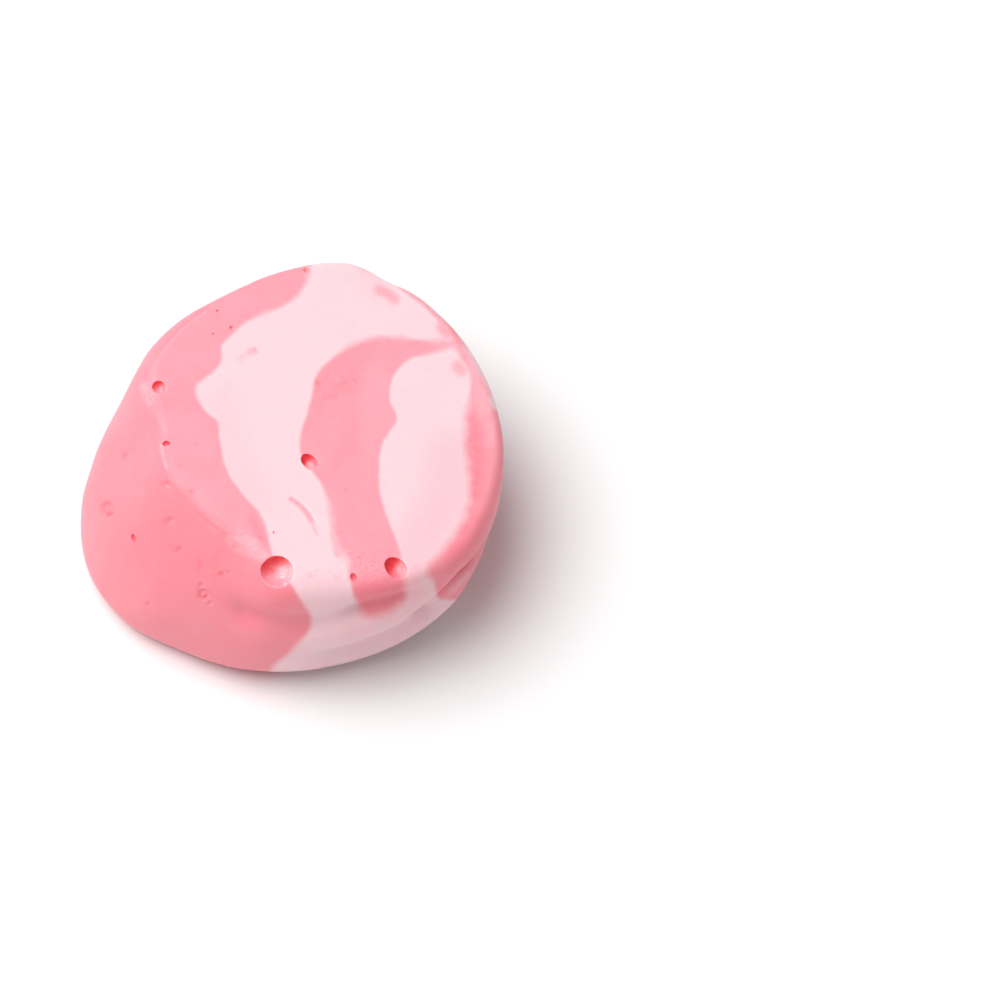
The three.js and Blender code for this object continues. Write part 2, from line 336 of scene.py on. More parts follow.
def divide_near_detail(mesh, level):
    mesh.faces.ensure_lookup_table()
    centres = np.array([face.calc_center_median() for face in mesh.faces])
    chosen = np.flatnonzero(near_detail(smooth_form(*unrolled(centres)), level))
    edges = {edge for index in chosen for edge in mesh.faces[index].edges}
    ordered = sorted(edges, key=lambda edge: edge.index)
    bmesh.ops.subdivide_edges(mesh, edges=ordered, cuts=1, use_grid_fill=True)


def body_mesh():
    mesh = cylinder_grid()
    for level in range(len(NEAR_BUBBLE)):
        mesh.edges.index_update()
        divide_near_detail(mesh, level)
    bmesh.ops.triangulate(mesh, faces=[face for face in mesh.faces if len(face.verts) > 4])
    laid_out = np.array([vert.co for vert in mesh.verts])
    turn, along = unrolled(laid_out)
    # The share of the slope and walls' deeper pink, which is painted shade
    skin_shade = mesh.verts.layers.float.new("skin_shade")
    for vert, place, share in zip(mesh.verts, form(turn, along), smoothstep(*SKIN_LINE, along)):
        vert.co = place * MM
        vert[skin_shade] = share
    mesh.normal_update()
    return mesh


def object_from(mesh, name):
    data = bpy.data.meshes.new(name)
    mesh.to_mesh(data)
    mesh.free()
    made = bpy.data.objects.new(name, data)
    bpy.context.scene.collection.objects.link(made)
    return made


def cutter(bubble, tree, normals):
    """The ball of air that one bubble was, a little uneven.

    Its points carry how deep a painted shade their wall gets, which is the floor's share, and more on the
    shaded side.
    """
    across = bubble["across"]
    steps = LARGE_BALL_STEPS if across > LARGE_BUBBLE else SMALL_BALL_STEPS
    ball = bmesh.new()
    bmesh.ops.create_icosphere(ball, subdivisions=steps, radius=1)
    place = Vector(bubble["at"])
    outward = normals[tree.find(place * MM)[1]]
    middle = place - outward * bubble["sunk"]
    lean = Vector(bubble.get("lean", UPRIGHT))
    long = across * bubble.get("stretch", 1)
    coarse, fine = UNEVEN_BALL
    heading = Matrix.Rotation(math.radians(bubble.get("heading", 0)), 3, "Z")
    turn = Vector((0, 0, 1)).rotation_difference(outward + lean).to_matrix() @ heading
    steep = Vector(bubble.get("steep", lean))
    steep_way = (steep - outward * steep.dot(outward)).normalized()
    floor = bubble.get("floor", SMALL_FLOOR_SHADE)
    hollow_shade = ball.verts.layers.float.new("hollow_shade")
    for vert in ball.verts:
        uneven = 1 + coarse["height"] * noise.noise(vert.co * coarse["waves"] + place)
        uneven += fine["height"] * noise.noise(vert.co * fine["waves"])
        x, y, z = vert.co * uneven
        offset = turn @ Vector((x * long, y * across, z * bubble["deep"]))
        depth = bubble["sunk"] - offset.dot(outward)
        # Painted shade: the floor's share, deepening towards the shaded side
        pink = lerp(floor, 1, smoothstep(*SHADED_SIDE, offset.dot(steep_way) / across))
        vert[hollow_shade] = max(smoothstep(*LIP_BAND, depth) * pink, BARELY_IN * (depth > 0))
        vert.co = (middle + offset) * MM
    return object_from(ball, "bubble")


def cut_bubbles(piece):
    data = piece.data
    tree = kdtree.KDTree(len(data.vertices))
    for index, vert in enumerate(data.vertices):
        tree.insert(vert.co, index)
    tree.balance()
    normals = [vert.normal.copy() for vert in data.vertices]
    cutters = [cutter(bubble, tree, normals) for bubble in BUBBLES]
    for ball in cutters:
        cut = piece.modifiers.new("cut", "BOOLEAN")
        cut.operation = "DIFFERENCE"
        cut.solver = "MANIFOLD"
        cut.object = ball
    depsgraph = bpy.context.evaluated_depsgraph_get()
    done = bpy.data.meshes.new_from_object(piece.evaluated_get(depsgraph))
    piece.modifiers.clear()
    piece.data = done
    for ball in cutters:
        bpy.data.objects.remove(ball)


def soften_lips(piece):
    """Rounds the sharp edges that the cuts leave."""
    mesh = bmesh.new()
    mesh.from_mesh(piece.data)
    bmesh.ops.remove_doubles(mesh, verts=mesh.verts, dist=WELD * MM)
    lips = [edge for edge in mesh.edges if edge.is_manifold and edge.calc_face_angle() > SHARP_ANGLE]
    sharp = {vert for edge in lips for vert in edge.verts}
    tree = kdtree.KDTree(len(sharp))
    for index, vert in enumerate(sorted(sharp, key=lambda v: v.index)):
        tree.insert(vert.co, index)
    tree.balance()
    close = [vert for vert in mesh.verts if tree.find(vert.co)[2] < LIP_REACH * MM]
    every_axis = {"use_axis_x": True, "use_axis_y": True, "use_axis_z": True}
    for _ in range(LIP_PASSES):
        bmesh.ops.smooth_vert(mesh, verts=close, factor=LIP_SMOOTHING, **every_axis)
    for face in mesh.faces:
        face.smooth = True
    mesh.to_mesh(piece.data)
    mesh.free()


# ---------------------------------------------------------------------------------------------------------
# The marbling: layers that run through the piece, drawn where the axis crosses them, with some strokes of
# painted shade
# ---------------------------------------------------------------------------------------------------------
# Outlines of the pink layers, in millimetres across and up
LEFT_LAYER = [
    (1.2, 17.6), (1.1, 16.9), (0.6, 15.7), (-0.4, 14.8), (-2.0, 14.1), (-3.2, 13.5), (-4.2, 12.6),
    (-4.9, 11.8), (-4.9, 10.8), (-5.4, 10.0), (-6.4, 9.2), (-6.6, 8.3), (-5.8, 7.1), (-5.05, 6.4),
    (-4.85, 4.9), (-4.4, 3.15), (-3.4, 1.6), (-2.0, 0.0), (-1.4, -1.6), (-1.1, -2.8), (-0.1, -4.4),
    (0.75, -5.8), (1.55, -7.2), (1.1, -8.4), (-0.2, -9.8), (-1.6, -11.2), (-3.0, -15.0), (-22.0, -15.0),
    (-22.0, 22.0), (1.4, 22.0),
]
MIDDLE_LAYER = [
    (11.8, 12.3), (9.7, 12.2), (7.9, 12.4), (6.3, 12.5), (4.9, 12.2), (3.75, 11.6), (2.8, 10.9),
    (2.0, 10.1), (1.6, 9.2), (1.45, 8.4), (1.2, 7.2), (0.7, 5.5), (0.8, 4.0), (1.7, 2.8), (2.45, 1.6),
    (2.95, -0.4), (3.25, -2.0), (4.1, -3.2), (4.2, -4.3), (4.5, -5.5), (4.8, -6.4), (5.4, -7.2),
    (6.4, -7.1), (7.6, -6.5), (8.2, -5.4), (7.9, -3.2), (7.2, -1.2), (6.5, 0.6), (6.2, 2.2), (6.3, 4.6),
    (6.8, 5.6), (7.4, 6.7), (6.9, 8.1), (7.15, 9.7), (8.25, 10.9), (9.8, 11.3), (11.4, 11.8),
]
RIGHT_LAYER = [
    (10.6, 14.1), (11.0, 13.0), (11.35, 12.0), (12.2, 10.5), (12.6, 9.3), (12.4, 7.6), (12.1, 5.0),
    (12.4, 2.5), (12.4, 0.7), (11.8, -0.7), (10.9, -2.1), (10.0, -3.0), (9.5, -3.9), (10.0, -4.7),
    (10.4, -6.0), (11.4, -6.0), (22.0, -6.6), (22.0, 7.0), (14.7, 7.2), (13.9, 8.6), (13.15, 9.9),
    (12.3, 11.3), (11.7, 12.9), (11.2, 14.2),
]
PINK_LAYERS = [LEFT_LAYER, MIDDLE_LAYER, RIGHT_LAYER]
# Where the layers' edges are more blurred than elsewhere: a line, its reach, and the blur there, in mm
BLURS = [
    {"line": [(12.2, 7.0), (12.4, 1.0), (11.8, -0.7), (9.4, -3.9)], "reach": 1.1, "blur": 0.60},
    {"line": [(5.0, -7.1), (6.6, -7.0), (8.0, -6.0), (8.0, -5.0)], "reach": 1.0, "blur": 0.65},
    {"line": [(3.0, 0.5), (3.9, -3.0)], "reach": 0.9, "blur": 0.50},
    {"line": [(1.4, -7.0), (0.4, -9.0), (-1.4, -11.0)], "reach": 1.0, "blur": 0.30},
    {"line": [(7.4, 15.8), (10.8, 13.1), (12.3, 10.3)], "reach": 0.9, "blur": 0.40},
    {"line": [(10.3, 12.1), (11.8, 12.2)], "reach": 0.9, "blur": 0.55},
    {"line": [(-2.5, 14.2), (0.5, 15.8)], "reach": 0.9, "blur": 0.35},
    {"line": [(-6.6, 9.3), (-6.7, 8.3)], "reach": 0.8, "blur": 0.28},
    {"line": [(4.3, 12.0), (7.5, 12.5)], "reach": 0.9, "blur": 0.45},
    {"line": [(1.2, 17.6), (1.0, 16.6)], "reach": 0.8, "blur": 0.40},
]
# Stains of pink in the white, and a broad pinker wash: a line, its half width and blur in millimetres, and
# its strength
STAINS = [
    {"line": [(6.1, 15.85), (6.7, 15.6), (7.2, 15.2)], "wide": 0.12, "blur": 0.50, "strength": 0.75},
    {"line": [(7.7, 16.0), (9.4, 14.75), (10.8, 13.3)], "wide": 0.05, "blur": 0.22, "strength": 0.65},
    {"line": [(10.5, 13.2), (10.9, 12.7)], "wide": 0.12, "blur": 0.50, "strength": 0.80},
    {"line": [(11.7, 10.4), (11.9, 10.2)], "wide": 0.15, "blur": 0.60, "strength": 0.70},
    {"line": [(-2.9, 11.4), (-2.6, 11.5)], "wide": 0.10, "blur": 0.28, "strength": 0.65},
    {"line": [(-3.6, 10.9), (-2.9, 11.4)], "wide": 0.02, "blur": 0.35, "strength": 0.35},
    {"line": [(0.1, 1.05), (0.7, 0.65), (1.2, 0.1), (1.5, -0.4)], "wide": 0.04, "blur": 0.26,
     "strength": 0.75},
    {"line": [(1.5, -0.4), (1.9, -1.3)], "wide": 0.01, "blur": 0.22, "strength": 0.40},
    # A broad, soft pinker wash over the white towards the face's lower right
    {"line": [(11.2, 4.0), (10.6, 1.0), (8.8, -2.2)], "wide": 0.30, "blur": 2.6, "strength": 0.26},
    {"line": [(8.6, -3.4), (8.6, -5.4)], "wide": 0.20, "blur": 1.3, "strength": 0.30},
    {"line": [(4.8, -8.7), (7.3, -8.0), (8.8, -7.0)], "wide": 0.30, "blur": 1.6, "strength": 0.14},
    {"line": [(-4.6, 8.0), (-3.4, 3.5), (-1.6, 0.8)], "wide": 0.10, "blur": 2.2, "strength": 0.12},
    {"line": [(3.2, -1.4), (3.5, -2.7)], "wide": 0.20, "blur": 0.3, "strength": 0.60},
]
# Outlines inside the pink layers where the sugar is a deeper (negative) or a paler pink, edged with a blur
SHADES = [
    {"blur": 0.55, "amount": -0.11,
     "outline": [(1.0, 4.2), (0.6, 6.0), (1.2, 8.5), (2.2, 10.8), (4.2, 12.6), (7.0, 13.0), (9.2, 12.2),
                 (7.6, 11.4), (6.1, 10.9), (5.1, 9.9), (4.9, 8.0), (4.8, 6.3), (4.1, 4.6), (3.1, 3.1),
                 (2.3, 2.1), (1.3, 2.8)]},
    {"blur": 0.9, "amount": -0.14,
     "outline": [(4.7, 6.8), (4.9, 5.6), (4.2, 4.0), (3.1, 2.4), (2.3, 2.2), (2.9, 3.4), (3.8, 5.0)]},
    {"blur": 0.9, "amount": 0.22,
     "outline": [(5.4, 10.6), (6.8, 11.0), (6.5, 8.2), (6.6, 6.4), (5.4, 3.6), (5.0, 6.4), (5.1, 8.8)]},
    {"blur": 0.22, "amount": 0.55,
     "outline": [(-4.3, -1.5), (-2.6, -1.4), (-1.8, -2.0), (-1.4, -2.8), (-1.9, -3.2), (-3.0, -2.9),
                 (-4.1, -2.3)]},
]
# Soft strokes of a paler (positive) or a deeper pink; the deeper ones marked below are painted shade
TONES = [
    {"line": [(-10.25, 8.9), (-9.8, 7.8)], "reach": 0.34, "amount": 0.85},
    {"line": [(-9.6, 7.3), (-9.0, 6.5), (-8.6, 5.8)], "reach": 0.25, "amount": 0.30},
    {"line": [(-9.5, 8.9)], "reach": 0.85, "amount": 0.20},
    {"line": [(-8.95, 4.8), (-8.8, 4.0), (-8.55, 3.2)], "reach": 0.13, "amount": 0.65},
    {"line": [(-8.7, 1.6), (-7.0, 0.6), (-5.0, -1.2)], "reach": 0.28, "amount": 0.12},
    {"line": [(-2.6, -0.2), (-2.1, -1.3), (-1.8, -2.2)], "reach": 0.35, "amount": -0.40},
    {"line": [(11.3, -5.3), (11.8, -4.8), (12.4, -4.2)], "reach": 0.35, "amount": 0.55},
    {"line": [(-6.4, 0.1), (-5.7, -0.4), (-5.2, -0.8), (-4.4, -1.3), (-3.6, -1.5), (-2.8, -1.3),
              (-2.0, -1.7)], "reach": 0.08, "amount": -0.50},
    # Painted shade: a deeper band just below the crease along the left rim
    {"line": [(-8.9, 6.5), (-8.2, 2.9), (-6.5, 0.8), (-4.4, -0.8)], "reach": 0.45, "amount": -0.16},
    {"line": [(-8.9, 7.8)], "reach": 0.9, "amount": -0.35},
    # Painted shade: this and the next two deepen the lower left wall and the far left slope
    {"line": [(-8.0, -2.2), (-6.0, -3.8), (-3.6, -5.8)], "reach": 1.8, "amount": -0.20},
    {"line": [(-11.0, -2.4), (-9.2, -4.4)], "reach": 1.5, "amount": -0.22},
    {"line": [(-12.9, 4.6), (-13.6, 1.4)], "reach": 1.6, "amount": -0.32},
    # Painted shade in the valley below the front rim, under the large bubble
    {"line": [(-2.6, -6.9), (-0.6, -6.2)], "reach": 0.9, "amount": -0.35},
    {"line": [(5.3, -5.6), (7.4, -5.2)], "reach": 0.9, "amount": -0.50},
    # Painted shade on the upper left slope
    {"line": [(-10.6, 6.2), (-11.4, 4.6)], "reach": 0.9, "amount": -0.25},
    {"line": [(12.6, 6.9), (12.9, 5.0), (13.0, 3.2), (12.9, 1.4)], "reach": 0.70, "amount": -0.55},
    {"line": [(12.8, 10.3), (13.3, 9.3), (13.6, 8.0), (13.6, 7.3)], "reach": 0.7, "amount": 0.95},
    {"line": [(14.0, 6.2), (14.1, 5.2)], "reach": 0.35, "amount": 0.6},
    {"line": [(12.9, -0.4), (11.4, -2.6)], "reach": 0.9, "amount": -0.4},
]
# Small marks on the slope and the face, where the sugar is bare and deeper
SPOTS = [
    {"line": [(-11.7, 4.1), (-11.6, 3.9)], "reach": 0.14, "amount": -0.7},
    {"line": [(-8.9, 2.2), (-8.8, 2.1)], "reach": 0.16, "amount": -0.6},
    {"line": [(-6.8, 1.6)], "reach": 0.15, "amount": -0.9},
    {"line": [(-8.7, -0.5)], "reach": 0.20, "amount": -0.5},
    {"line": [(-8.0, -2.5)], "reach": 0.15, "amount": -0.5},
    {"line": [(-6.3, -3.2), (-6.2, -3.6), (-6.5, -3.8)], "reach": 0.14, "amount": -0.7},
    {"line": [(-5.2, -4.3), (-4.9, -4.1), (-4.6, -4.3)], "reach": 0.12, "amount": -0.5},
    {"line": [(-13.0, 0.5), (-12.8, -0.1)], "reach": 0.25, "amount": -0.3},
    {"line": [(-4.8, -2.6), (-5.4, -3.5)], "reach": 0.25, "amount": -0.3},
    {"line": [(-6.3, -5.5), (-6.0, -5.4), (-5.9, -5.8), (-6.2, -5.9), (-6.3, -5.5), (-6.4, -5.2)],
     "reach": 0.13, "amount": -0.5},
    {"line": [(-10.1, -6.3)], "reach": 0.12, "amount": -0.5},
    {"line": [(-6.6, 4.9)], "reach": 0.08, "amount": -0.6},
    {"line": [(-7.6, 3.4)], "reach": 0.08, "amount": -0.5},
    {"line": [(-3.8, -2.2)], "reach": 0.09, "amount": -0.9},
    {"line": [(1.7, 9.4), (1.5, 9.1), (1.9, 9.2)], "reach": 0.14, "amount": -0.9},
    {"line": [(3.0, 8.9), (3.9, 9.3), (4.6, 9.4)], "reach": 0.22, "amount": -0.22},
    {"line": [(2.3, 8.2), (3.1, 8.3)], "reach": 0.20, "amount": -0.20},
    {"line": [(3.9, 1.7)], "reach": 0.10, "amount": -0.7},
]
# Patches where the knife left the face grainy and moist: a line, its reach in mm, and how grainy it is
GRAINY = [
    {"line": [(4.9, -3.3), (5.9, -3.6)], "reach": 1.1, "share": 1.0},
    {"line": [(0.4, -4.1), (4.0, -4.3)], "reach": 0.45, "share": 1.0},
    {"line": [(1.8, 9.0), (3.0, 9.4), (4.8, 9.3)], "reach": 0.8, "share": 0.35},
    {"line": [(-10.2, 8.2), (-9.8, 7.0)], "reach": 0.40, "share": 0.4},
]
SKIN_LINE = [0.97, 1.55]             # how far over the rim the paler cut face gives way to the deeper pink of the slope and walls, painted shade
EDGE_BLUR = 0.18                     # half the width of the edge between two layers, mm
HOLLOW_BLUR = 0.9                    # and inside an opened bubble
OUTLINE_STEP = 0.2                   # how finely an outline is followed, in corners
MARKED = [0.0, 0.3]                  # how far towards the layers' end the surface turns before marks show
HIDDEN = [0.0, 0.7]                  # and how far away from it before the layers wander
WANDER = {"reach": 1.6, "waves": [0.42, 0.35], "phases": [0.8, 2.0]}   # mm, and radians a mm, across and up


def signed_distance(points, outline):
    """Distance to a closed smooth outline, positive inside."""
    steps = np.arange(0, len(outline), OUTLINE_STEP)
    line = through(outline, steps)
    line = np.vstack([line, line[:1]])
    inside = np.zeros(len(points), bool)
    x, y = points.T
    for (x0, y0), (x1, y1) in zip(line, line[1:]):
        crosses = (y0 > y) != (y1 > y)
        if y1 != y0:
            inside ^= crosses & (x < x0 + (x1 - x0) * (y - y0) / (y1 - y0))
    return np.where(inside, 1, -1) * distance_to_line(points, line)


def layer_places(points, normals):
    """Where each point lies across and up the layers, which wander where the surface turns from their end."""
    hidden = smoothstep(*HIDDEN, -(normals @ LAYER_AXIS))[:, None]
    places = flat(points)
    other_way = places[:, ::-1]
    return places + WANDER["reach"] * hidden * np.sin(WANDER["waves"] * other_way + WANDER["phases"])


def paint(piece):
    """Stores the layers, stains, tones and grain on the mesh's points, for the material."""
    data = piece.data
    count = len(data.vertices)
    points = np.zeros(count * 3)
    normals = np.zeros(count * 3)
    data.vertices.foreach_get("co", points)
    data.vertices.foreach_get("normal", normals)
    points = points.reshape(-1, 3) / MM
    normals = normals.reshape(-1, 3)
    places = layer_places(points, normals)
    facing = smoothstep(*MARKED, normals @ LAYER_AXIS)
    hollow_shade = np.zeros(count)
    data.attributes["hollow_shade"].data.foreach_get("value", hollow_shade)
    pink = np.max([signed_distance(places, outline) for outline in PINK_LAYERS], axis=0)
    stain = np.zeros(count)
    for mark in STAINS:
        away = distance_to_line(places, mark["line"])
        share = 1 - smoothstep(mark["wide"], mark["wide"] + mark["blur"], away)
        stain = np.maximum(stain, mark["strength"] * share)
    tone = np.zeros(count)
    for shade in SHADES:
        share = smoothstep(-shade["blur"], shade["blur"], signed_distance(places, shade["outline"]))
        tone += shade["amount"] * share
    for stroke in TONES + SPOTS:
        tone += stroke["amount"] * bell(distance_to_line(places, stroke["line"]), stroke["reach"])
    blur = np.full(count, EDGE_BLUR)
    for edge in BLURS:
        near = bell(distance_to_line(places, edge["line"]), edge["reach"])
        blur = np.maximum(blur, EDGE_BLUR + (edge["blur"] - EDGE_BLUR) * near * facing)
    blur = np.maximum(blur, HOLLOW_BLUR * (hollow_shade > 0))
    grainy = np.zeros(count)
    for patch in GRAINY:
        near = bell(distance_to_line(places, patch["line"]), patch["reach"])
        grainy = np.maximum(grainy, patch["share"] * near)
    channels = {"pink": pink / blur, "stain": stain * facing, "tone": tone * facing,
                "grainy": grainy * facing}
    for name, values in channels.items():
        attribute = data.attributes.new(name, "FLOAT", "POINT")
        attribute.data.foreach_set("value", values.astype(np.float32))


# ---------------------------------------------------------------------------------------------------------
# Materials
# ---------------------------------------------------------------------------------------------------------
WHITE_SUGAR = (0.95, 0.625, 0.67)
FACE_SUGAR = (0.94, 0.350, 0.415)    # pink, on the cut face
SHADED_SKIN_SUGAR = (0.94, 0.279, 0.334)    # pink, on the slope and the walls: deeper than on the face, as painted shade
DEEP_SUGAR = (0.93, 0.205, 0.260)
PALE_SUGAR = (0.95, 0.460, 0.510)
PAINTED_HOLLOW_SHADE = (0.92, 0.070, 0.090)  # painted shade: a deep red on the steep walls of an opened bubble
# Painted highlight: pale specks that glint inside a bubble
PAINTED_HIGHLIGHT = (0.97, 0.80, 0.81)
KNIFE_DRAG = (0.35, 3.2, 3.2)        # waves a mm of the fine lines that the knife dragged along X
HIGHLIGHT_WAVES = (2.5, 7.0, 5.0)              # and of the painted highlights that glint in a bubble

# Noise: waves a mm, detail and roughness, then the middle that is taken away and the strength. A tone below
# nought deepens the sugar in the deep parts, and one above nought makes it paler in the pale parts.
FEATHER = {"waves": 1.1, "detail": 2.0, "rough": 0.5, "middle": 0.5, "strength": 0.9}
BLOTCHES = {"waves": 4.0, "detail": 2.0, "rough": 0.5, "middle": -0.75, "strength": 0.8}
CLOUDS = {"waves": 0.8, "detail": 4.0, "rough": 0.6, "middle": 0.45, "strength": 0.14}
DRAG_MARKS = {"waves": 1.0, "detail": 3.0, "rough": 0.6, "middle": 0.5, "strength": 0.10}
MOISTURE = {"waves": 2.6, "detail": 2.0, "rough": 0.6, "middle": 0.45, "strength": 1.1}
STREAKS = {"waves": 0.45, "detail": 3.0, "rough": 0.6, "middle": 0.5, "strength": 0.5}
FLECKS = {"waves": 7.0, "detail": 3.0, "rough": 0.7, "middle": 0.5, "strength": 0.9}
DEEP_PARTS = {"waves": 1.6, "detail": 3.0, "rough": 0.6, "middle": -0.0556, "strength": -1.8}
PALE_PARTS = {"waves": 2.8, "detail": 2.0, "rough": 0.55, "middle": 0.125, "strength": 2.0}
HIGHLIGHT_NOISE = {"waves": 1.0, "detail": 1.0, "rough": 0.5}
# and for the bump, where the strength is a share of its height
GRAIN = {"waves": 9.0, "detail": 3.0, "rough": 0.6}
RIPPLE = {"waves": 2.2, "detail": 2.0, "rough": 0.5}
DRAG_RELIEF = {"waves": 1.0, "detail": 3.0, "rough": 0.6, "strength": 0.45}
WET_RELIEF = {"waves": 4.5, "detail": 1.0, "rough": 0.5, "strength": 2.2}

# How strong these are on the rest of the skin, and what a grainy patch adds
FLECKS_SHOWN = {"rest": 0.35, "grainy": 4.5}
GRAIN_RELIEF = {"rest": 0.30, "grainy": 2.6}
RIPPLE_RELIEF = {"rest": 0.75, "grainy": 3.5}

# Inside a bubble, by the share of its painted shade
IN_BUBBLE = [0.0, 0.015]             # where the wall starts
SHADED_WALL = [0.05, 1.0]             # where the painted shade starts, and where it is deepest
HIGHLIGHTS_END = [0.24, 0.34]          # painted highlights lie only on the paler part
HIGHLIGHT_SIZE = [0.62, 0.72]          # the highlights' noise where a painted highlight starts and is full
HIGHLIGHT_SHARE = 0.75
SHADE_OVER_WHITE = 0.96                    # how far the painted shade hides the white on the shaded side

BUMP = {"Strength": 0.40, "Distance": 0.03 * MM}
ROUGHNESS = 0.42
RIPPLE_ROUGHNESS = 0.12              # added where the skin ripples
WET_GLOSS = 0.20                     # taken off inside a bubble
FLOOR_COLOURS = [(0.86, 0.86, 0.86), (0.88, 0.88, 0.88)]
FLOOR_WAVES = 6.0                    # a metre


class Nodes:
    """A short way to add nodes to a material."""

    def __init__(self, name):
        self.material = bpy.data.materials.new(name)
        self.material.use_nodes = True
        self.tree = self.material.node_tree
        self.tree.nodes.clear()

    def add(self, kind, inputs=(), **settings):
        node = self.tree.nodes.new(kind)
        for key, value in settings.items():
            setattr(node, key, value)
        for socket, value in dict(inputs).items():
            if isinstance(value, bpy.types.NodeSocket):
                self.tree.links.new(value, node.inputs[socket])
            else:
                node.inputs[socket].default_value = value
        return node

    def math(self, operation, a, b=0.0, clamp=False):
        return self.add("ShaderNodeMath", {0: a, 1: b}, operation=operation, use_clamp=clamp).outputs[0]

    def attribute(self, name):
        return self.add("ShaderNodeAttribute", attribute_name=name).outputs["Fac"]

    def noise(self, place, waves, detail=2.0, rough=0.5, middle=0.0, strength=1.0):
        """Noise with its middle taken away, and then made stronger or weaker."""
        inputs = {"Vector": place, "Scale": waves, "Detail": detail, "Roughness": rough}
        made = self.add("ShaderNodeTexNoise", inputs).outputs["Fac"]
        if middle:
            made = self.math("SUBTRACT", made, middle)
        return self.math("MULTIPLY", made, strength) if strength != 1 else made

    def total(self, first, *others):
        for other in others:
            first = self.math("ADD", first, other)
        return first

    def step(self, value, low, high):
        inputs = {"Value": value, "From Min": low, "From Max": high, "To Min": 0.0, "To Max": 1.0}
        node = self.add("ShaderNodeMapRange", inputs, interpolation_type="SMOOTHSTEP")
        return node.outputs["Result"]

    def mix(self, share, a, b):
        node = self.add("ShaderNodeMix", data_type="RGBA")
        for socket, value in zip((node.inputs[0], node.inputs[6], node.inputs[7]), (share, a, b)):
            if isinstance(value, bpy.types.NodeSocket):
                self.tree.links.new(value, socket)
            else:
                socket.default_value = value if isinstance(value, float) else (*value, 1.0)
        return node.outputs[2]


def drawn_out(n, place, waves):
    """Places scaled to so many waves a millimetre along each axis."""
    return n.add("ShaderNodeVectorMath", {0: place, 1: waves}, operation="MULTIPLY").outputs[0]


def more_if_grainy(n, amounts):
    return n.math("ADD", n.math("MULTIPLY", n.attribute("grainy"), amounts["grainy"]), amounts["rest"])


def sugar_material():
    n = Nodes("pulled_sugar")
    coordinates = n.add("ShaderNodeTexCoord").outputs["Object"]
    place = n.add("ShaderNodeVectorMath", {0: coordinates, 3: 1 / MM}, operation="SCALE").outputs[0]
    dragged = drawn_out(n, place, KNIFE_DRAG)

    # Where the bubbles' walls are, and the painted shade on them
    inside = n.step(n.attribute("hollow_shade"), *IN_BUBBLE)
    painted_shade = n.step(n.attribute("hollow_shade"), *SHADED_WALL)

    # The edge between layers: blurred, and feathered by the pull
    layer = n.step(n.math("ADD", n.attribute("pink"), n.noise(place, **FEATHER)), -1.0, 1.0)
    moist = n.math("MULTIPLY", n.noise(place, **MOISTURE), n.attribute("grainy"))
    clouds = n.total(n.noise(place, **CLOUDS), n.noise(dragged, **DRAG_MARKS), moist)
    layer = n.math("ADD", layer, clouds, clamp=True)
    stain = n.math("MULTIPLY", n.attribute("stain"), n.noise(place, **BLOTCHES), clamp=True)
    # The painted shade in a bubble covers the white layer
    pinkness = n.math("MAXIMUM", n.math("MAXIMUM", layer, stain), n.math("MULTIPLY", painted_shade, SHADE_OVER_WHITE))

    # Tones of the pink: deeper and paler strokes, and slow streaks
    speckle = n.math("MULTIPLY", n.noise(place, **FLECKS), more_if_grainy(n, FLECKS_SHOWN))
    tone = n.total(n.attribute("tone"), n.noise(place, **STREAKS), speckle)
    deep = n.math("MULTIPLY", tone, n.noise(place, **DEEP_PARTS), clamp=True)
    pale = n.math("MULTIPLY", tone, n.noise(place, **PALE_PARTS), clamp=True)
    # The slope and walls are painted a deeper pink than the face, as painted shade
    pink = n.mix(n.attribute("skin_shade"), FACE_SUGAR, SHADED_SKIN_SUGAR)
    pink = n.mix(deep, pink, DEEP_SUGAR)
    pink = n.mix(pale, pink, PALE_SUGAR)
    # Painted shade: deep red on a bubble's shaded wall
    pink = n.mix(painted_shade, pink, PAINTED_HOLLOW_SHADE)
    colour = n.mix(pinkness, WHITE_SUGAR, pink)
    # Painted highlights: pale specks on the paler floor of a bubble
    highlight_specks = n.step(n.noise(drawn_out(n, place, HIGHLIGHT_WAVES), **HIGHLIGHT_NOISE), *HIGHLIGHT_SIZE)
    painted_highlights = n.math("MULTIPLY", n.math("MULTIPLY", inside, highlight_specks), HIGHLIGHT_SHARE)
    painted_highlights = n.math("MULTIPLY", painted_highlights, n.math("SUBTRACT", 1.0, n.step(painted_shade, *HIGHLIGHTS_END)))
    colour = n.mix(painted_highlights, colour, PAINTED_HIGHLIGHT)

    # Satin skin: fine sugar grain over soft wrinkles, rougher where it is grainy and moist inside a bubble
    ripple = n.noise(place, **RIPPLE)
    height = n.total(
        n.math("MULTIPLY", n.noise(place, **GRAIN), more_if_grainy(n, GRAIN_RELIEF)),
        n.math("MULTIPLY", ripple, more_if_grainy(n, RIPPLE_RELIEF)),
        n.noise(dragged, **DRAG_RELIEF),
        n.math("MULTIPLY", inside, n.noise(place, **WET_RELIEF)),
    )
    bump = n.add("ShaderNodeBump", {**BUMP, "Height": height}).outputs["Normal"]
    roughness = n.math("ADD", ROUGHNESS, n.math("MULTIPLY", ripple, RIPPLE_ROUGHNESS))
    roughness = n.math("SUBTRACT", roughness, n.math("MULTIPLY", inside, WET_GLOSS))

    shader = n.add("ShaderNodeBsdfPrincipled", {
        "Base Color": colour,
        "Roughness": roughness,
        "IOR": 1.45,
        "Specular IOR Level": 0.45,
        "Subsurface Weight": 0.5,
        "Subsurface Radius": (1.0, 0.35, 0.30),
        "Subsurface Scale": 1.2 * MM,
        "Normal": bump,
    })
    n.add("ShaderNodeOutputMaterial", {"Surface": shader.outputs[0]})
    return n.material


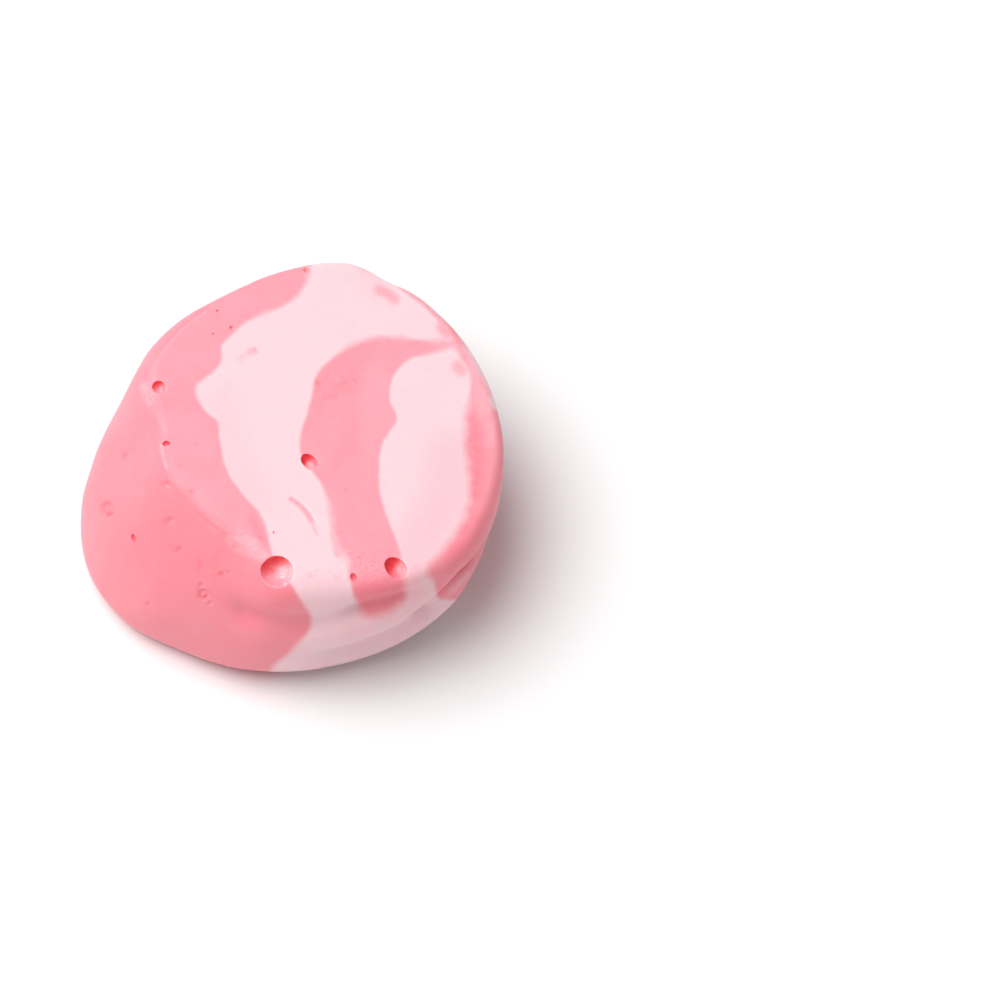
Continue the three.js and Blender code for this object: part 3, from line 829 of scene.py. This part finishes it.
def floor_material():
    n = Nodes("pale_surface")
    coordinates = n.add("ShaderNodeTexCoord").outputs["Object"]
    colour = n.mix(n.noise(coordinates, FLOOR_WAVES, detail=3.0), *FLOOR_COLOURS)
    shader = n.add("ShaderNodeBsdfPrincipled", {"Base Color": colour, "Roughness": 0.8})
    n.add("ShaderNodeOutputMaterial", {"Surface": shader.outputs[0]})
    return n.material


# ---------------------------------------------------------------------------------------------------------
# The piece, set into the frame
# ---------------------------------------------------------------------------------------------------------
def taffy_piece():
    piece = object_from(body_mesh(), "taffy_piece")
    cut_bubbles(piece)
    soften_lips(piece)
    paint(piece)
    piece.data.materials.clear()
    piece.data.materials.append(sugar_material())
    low, high = (np.array(corner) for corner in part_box("taffy"))
    points = np.zeros(len(piece.data.vertices) * 3)
    piece.data.vertices.foreach_get("co", points)
    points = points.reshape(-1, 3)
    shift = (low + high) / 2 - (points.min(0) + points.max(0)) / 2
    shift[2] = low[2] - points[:, 2].min()
    piece.data.transform(Matrix.Translation(Vector(shift)))
    return piece, Vector(shift)


piece, shift = taffy_piece()
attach(piece, "root")
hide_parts("taffy")

# ---------------------------------------------------------------------------------------------------------
# Floor, light and camera
# ---------------------------------------------------------------------------------------------------------
FLOOR_HALF = 1.5
FLOOR_DROP = 0.02 * MM               # keeps the base's flat clear of the floor
KEY_LIGHT = {"place": (-0.23, 0.05, 0.55), "size": 0.60, "power": 4.25}
WORLD_BRIGHTNESS = 0.37
CAMERA_ELEVATION = math.radians(60)
CAMERA_LENS = 300.0
CAMERA_SENSOR = 36.0
CAMERA_DISTANCE = 588 * MM
CAMERA_AIM = Vector((14.64, -1.96, 5.37)) * MM       # a point beside the piece, so that it stands at the left


def make_floor():
    data = bpy.data.meshes.new("floor")
    corners = [(x * FLOOR_HALF, y * FLOOR_HALF, 0) for x, y in ((-1, -1), (1, -1), (1, 1), (-1, 1))]
    data.from_pydata(corners, [], [(0, 1, 2, 3)])
    floor = bpy.data.objects.new("floor", data)
    floor.location.z = -FLOOR_DROP
    bpy.context.scene.collection.objects.link(floor)
    data.materials.append(floor_material())


def make_light(name, place, size, power):
    light = bpy.data.lights.new(name, "AREA")
    light.shape = "DISK"
    light.size = size
    light.energy = power
    lamp = bpy.data.objects.new(name, light)
    lamp.location = place
    lamp.rotation_euler = (-Vector(place)).to_track_quat("-Z", "Y").to_euler()
    bpy.context.scene.collection.objects.link(lamp)


def make_world(brightness):
    world = bpy.data.worlds.new("studio")
    world.use_nodes = True
    background = world.node_tree.nodes["Background"]
    background.inputs["Color"].default_value = (1, 1, 1, 1)
    background.inputs["Strength"].default_value = brightness
    bpy.context.scene.world = world


def make_camera():
    camera = bpy.data.cameras.new("camera")
    camera.lens = CAMERA_LENS
    camera.sensor_width = CAMERA_SENSOR
    camera.clip_start = 0.01
    holder = bpy.data.objects.new("camera", camera)
    away = Vector((0, -math.cos(CAMERA_ELEVATION), math.sin(CAMERA_ELEVATION)))
    holder.location = CAMERA_AIM + shift + away * CAMERA_DISTANCE
    holder.rotation_euler = (-away).to_track_quat("-Z", "Y").to_euler()
    bpy.context.scene.collection.objects.link(holder)
    bpy.context.scene.camera = holder


make_floor()
make_light("key", **KEY_LIGHT)
make_world(WORLD_BRIGHTNESS)
make_camera()
bpy.context.scene.view_settings.view_transform = "Standard"
